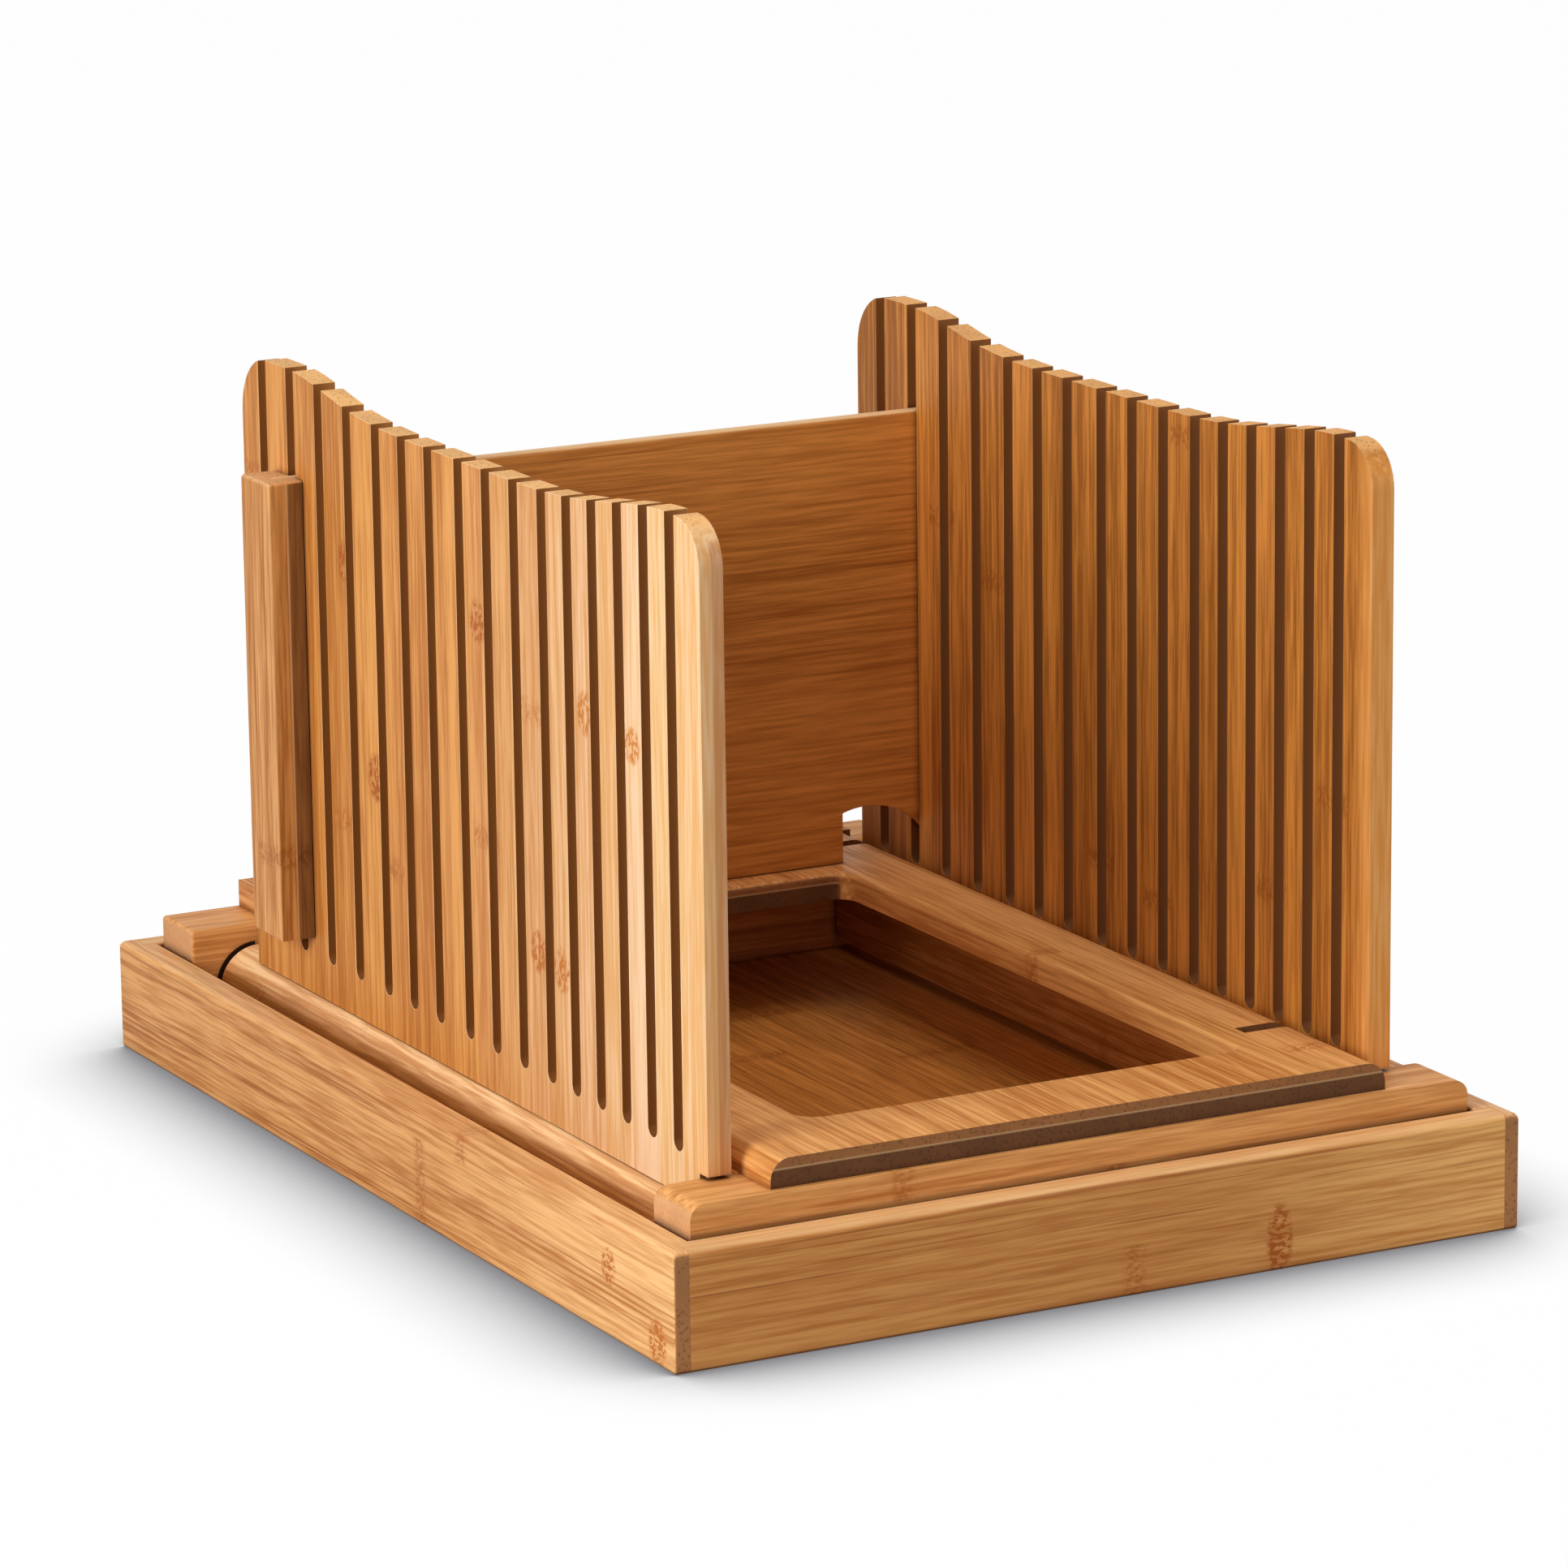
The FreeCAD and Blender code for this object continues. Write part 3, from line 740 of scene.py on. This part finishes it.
# %% [markdown]
# ## The slicer base
# Two cross bars carry the platform, and a rounded rail runs between them under
# each side panel. The dowels and pins that hold them are small and mostly
# buried, so they keep the solids' own meshes and only take a finish.

# %% The base
for node, wood, width in (("front_cross_bar", "bar", 0.5),
                          ("rear_cross_bar", "bar", 0.4),
                          ("platform", "platform", 0.4),
                          ("left_side_rail", "rail", 0.4),
                          ("right_side_rail", "rail", 0.4)):
    dress(eased(node, "slicer_base", width), WOOD[wood])
for node in ("platform_dowels", "rail_dowels"):
    dress(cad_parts[node], WOOD["dowel"])
for node in ("front_hinge_pins", "rear_hinge_pins"):
    dress(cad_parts[node], steel)

# %% [markdown]
# ## The side panels
# Each panel is a comb: sixteen slots are sawn down from the top edge of a
# board, which leaves slats with crisp, lightly sanded tips. The slats could be
# strips of their own, but below the slots they are still one board, and its
# grain has to run on. So the panel stays one piece, and its steel arms and
# brads are fixed to it.

# %% The panels
for side in ("left", "right"):
    body = side + "_panel"
    dress(eased(side + "_side_panel", body, 0.5), WOOD[side + " panel"])
    for part in ("front_hinge_arm", "rear_hinge_arm", "arm_brads"):
        dress(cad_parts[side + "_" + part], steel)

# %% [markdown]
# ## The stop board
# The board drops into a pair of slots, and a strip on each end stays outside
# the panel and keeps the board from sliding across. The board's fibres lie
# level and the strips' stand upright, so they can't share a finish.

# %% The stop board
dress(eased("stop_board", "stop", 0.4), WOOD["board"])
for node in ("left_end_strip", "right_end_strip"):
    dress(eased(node, "stop", 0.5), WOOD["strip"])

# %% [markdown]
# ## The table
# The slicer stands on white. A floor lit hard enough to burn out would wash
# out the wood as well, so for camera rays the floor gives off nearly all its
# white itself, and only a small part of it takes the light. Close to the tray
# the table would be shaded from the room, and an Ambient Occlusion node says
# how much, so the glow turns grey there. Steel sees the same white table,
# while the light that it throws back on the wood stays modest.

# %% Table helpers
TABLE_SIZE = 12.0
# just under the tray, so that the two faces never meet
TABLE_HEIGHT = -0.05 * MM
SHADE_REACH = 50.0 * MM
SHADE = rgb(134, 134, 138)
WHITE = (1.0, 1.0, 1.0, 1.0)
# what the table throws back as the wood sees it, and as the camera does
DIM_WHITE, BRIGHT_WHITE = (0.42, 0.42, 0.42, 1.0), (0.95, 0.95, 0.95, 1.0)
GLOWING_PART = 0.98


def plane(name, size, height):
    """A level square, made from a grid and centred on the origin."""
    mesh = bmesh.new()
    bmesh.ops.create_grid(mesh, x_segments=1, y_segments=1, size=size / 2)
    bmesh.ops.translate(mesh, verts=mesh.verts, vec=(0, 0, height))
    data = bpy.data.meshes.new(name)
    mesh.to_mesh(data)
    mesh.free()
    made = bpy.data.objects.new(name, data)
    bpy.context.scene.collection.objects.link(made)
    return made


def seen_rays(tree):
    """1 for rays from the camera, and from glossy and clear surfaces."""
    path = add(tree, "ShaderNodeLightPath").outputs
    seen = calc(tree, "MAXIMUM", path["Is Camera Ray"], path["Is Glossy Ray"])
    return calc(tree, "MAXIMUM", seen, path["Is Transmission Ray"])


print("table helpers ready")

# %% Lay the table
table = plane("table", TABLE_SIZE, TABLE_HEIGHT)
white, tree = fresh("White table")
seen = seen_rays(tree)
open_sky = add(tree, "ShaderNodeAmbientOcclusion", {"Distance": SHADE_REACH},
               samples=24).outputs["AO"]
near_tray = blend(tree, remap(tree, open_sky, 0.5, 0.94, smooth=False),
                  SHADE, WHITE)
glow = add(tree, "ShaderNodeEmission", {"Color": near_tray, "Strength": 1.0})
lit = add(tree, "ShaderNodeBsdfDiffuse", {
    "Color": blend(tree, seen, DIM_WHITE, BRIGHT_WHITE)})
both = add(tree, "ShaderNodeMixShader", {
    0: calc(tree, "MULTIPLY", seen, GLOWING_PART), 1: lit.outputs[0],
    2: glow.outputs[0]})
add(tree, "ShaderNodeOutputMaterial", {0: both.outputs[0]})
dress(table, white)
print("table made")

# %% [markdown]
# ## The light
# A bright room alone would light every face alike and leave the slicer flat.
# So a soft box close to the left does most of the work: the left faces are
# bright, the front faces are in half shade, and the panels shade the inside.
# A weaker one overhead lifts the tops, a faint one from the right keeps the
# grain alive in the shade, and a dim room fills the rest.

# %% The room
# the room's light on the wood, and its brightness behind the piece
ROOM_LIGHT, ROOM_SEEN = 0.30, 1.0

world = bpy.data.worlds.new("Soft room")
bpy.context.scene.world = world
world.use_nodes = True
tree = world.node_tree
tree.nodes.clear()
strength = remap(tree, seen_rays(tree), 0.0, 1.0, ROOM_LIGHT, ROOM_SEEN,
                 smooth=False)
room = add(tree, "ShaderNodeBackground", {
    "Color": WHITE, "Strength": strength})
add(tree, "ShaderNodeOutputWorld", {0: room.outputs[0]})
print("room made")

# %% The lamps
def lamp(name, place, aim, size, power):
    """A square soft box that points at a spot."""
    light = bpy.data.lights.new(name, "AREA")
    light.size = size
    light.energy = power
    made = bpy.data.objects.new(name, light)
    bpy.context.scene.collection.objects.link(made)
    made.location = place
    made.rotation_euler = (Vector(aim) - Vector(place)).to_track_quat(
        "-Z", "Y").to_euler()
    return made


lamp("Key from the left", (-1.10, -0.38, 0.50), (0, 0, 0.08), 0.6, 10.5)
lamp("Soft box overhead", (0.0, -0.1, 1.6), (0, 0, 0.0), 1.0, 7.0)
lamp("Fill from the right", (0.75, -0.80, 0.35), (0.1, 0, 0.08), 0.5, 2.2)
print("lamps made")

# %% [markdown]
# ## The camera
# The camera stands to the left and well back, with a long lens, so that the
# tray's edges stay nearly parallel. A constraint could aim it at the slicer,
# but a place and three turns, in radians, also set how level it is held.

# %% Camera
FRAME_PIXELS = 1932
FOCAL_PIXELS = 8797.8
SENSOR = 36.0
CAMERA_AT = Vector((-849.44, -1619.59, 533.22)) * MM
YAW, PITCH, ROLL = 0.4833, 0.2349, -0.0124

camera_data = bpy.data.cameras.new("Camera")
camera_data.sensor_width = SENSOR
camera_data.lens = FOCAL_PIXELS * SENSOR / FRAME_PIXELS
camera_data.clip_end = 50
camera = bpy.data.objects.new("Camera", camera_data)
bpy.context.scene.collection.objects.link(camera)
camera.matrix_world = (Matrix.Translation(CAMERA_AT)
                       @ Matrix.Rotation(-YAW, 4, "Z")
                       @ Matrix.Rotation(math.pi / 2 - PITCH, 4, "X")
                       @ Matrix.Rotation(ROLL, 4, "Z"))
bpy.context.scene.camera = camera
bpy.context.scene.view_settings.view_transform = "Standard"
print("lens", round(camera_data.lens, 2), "mm")
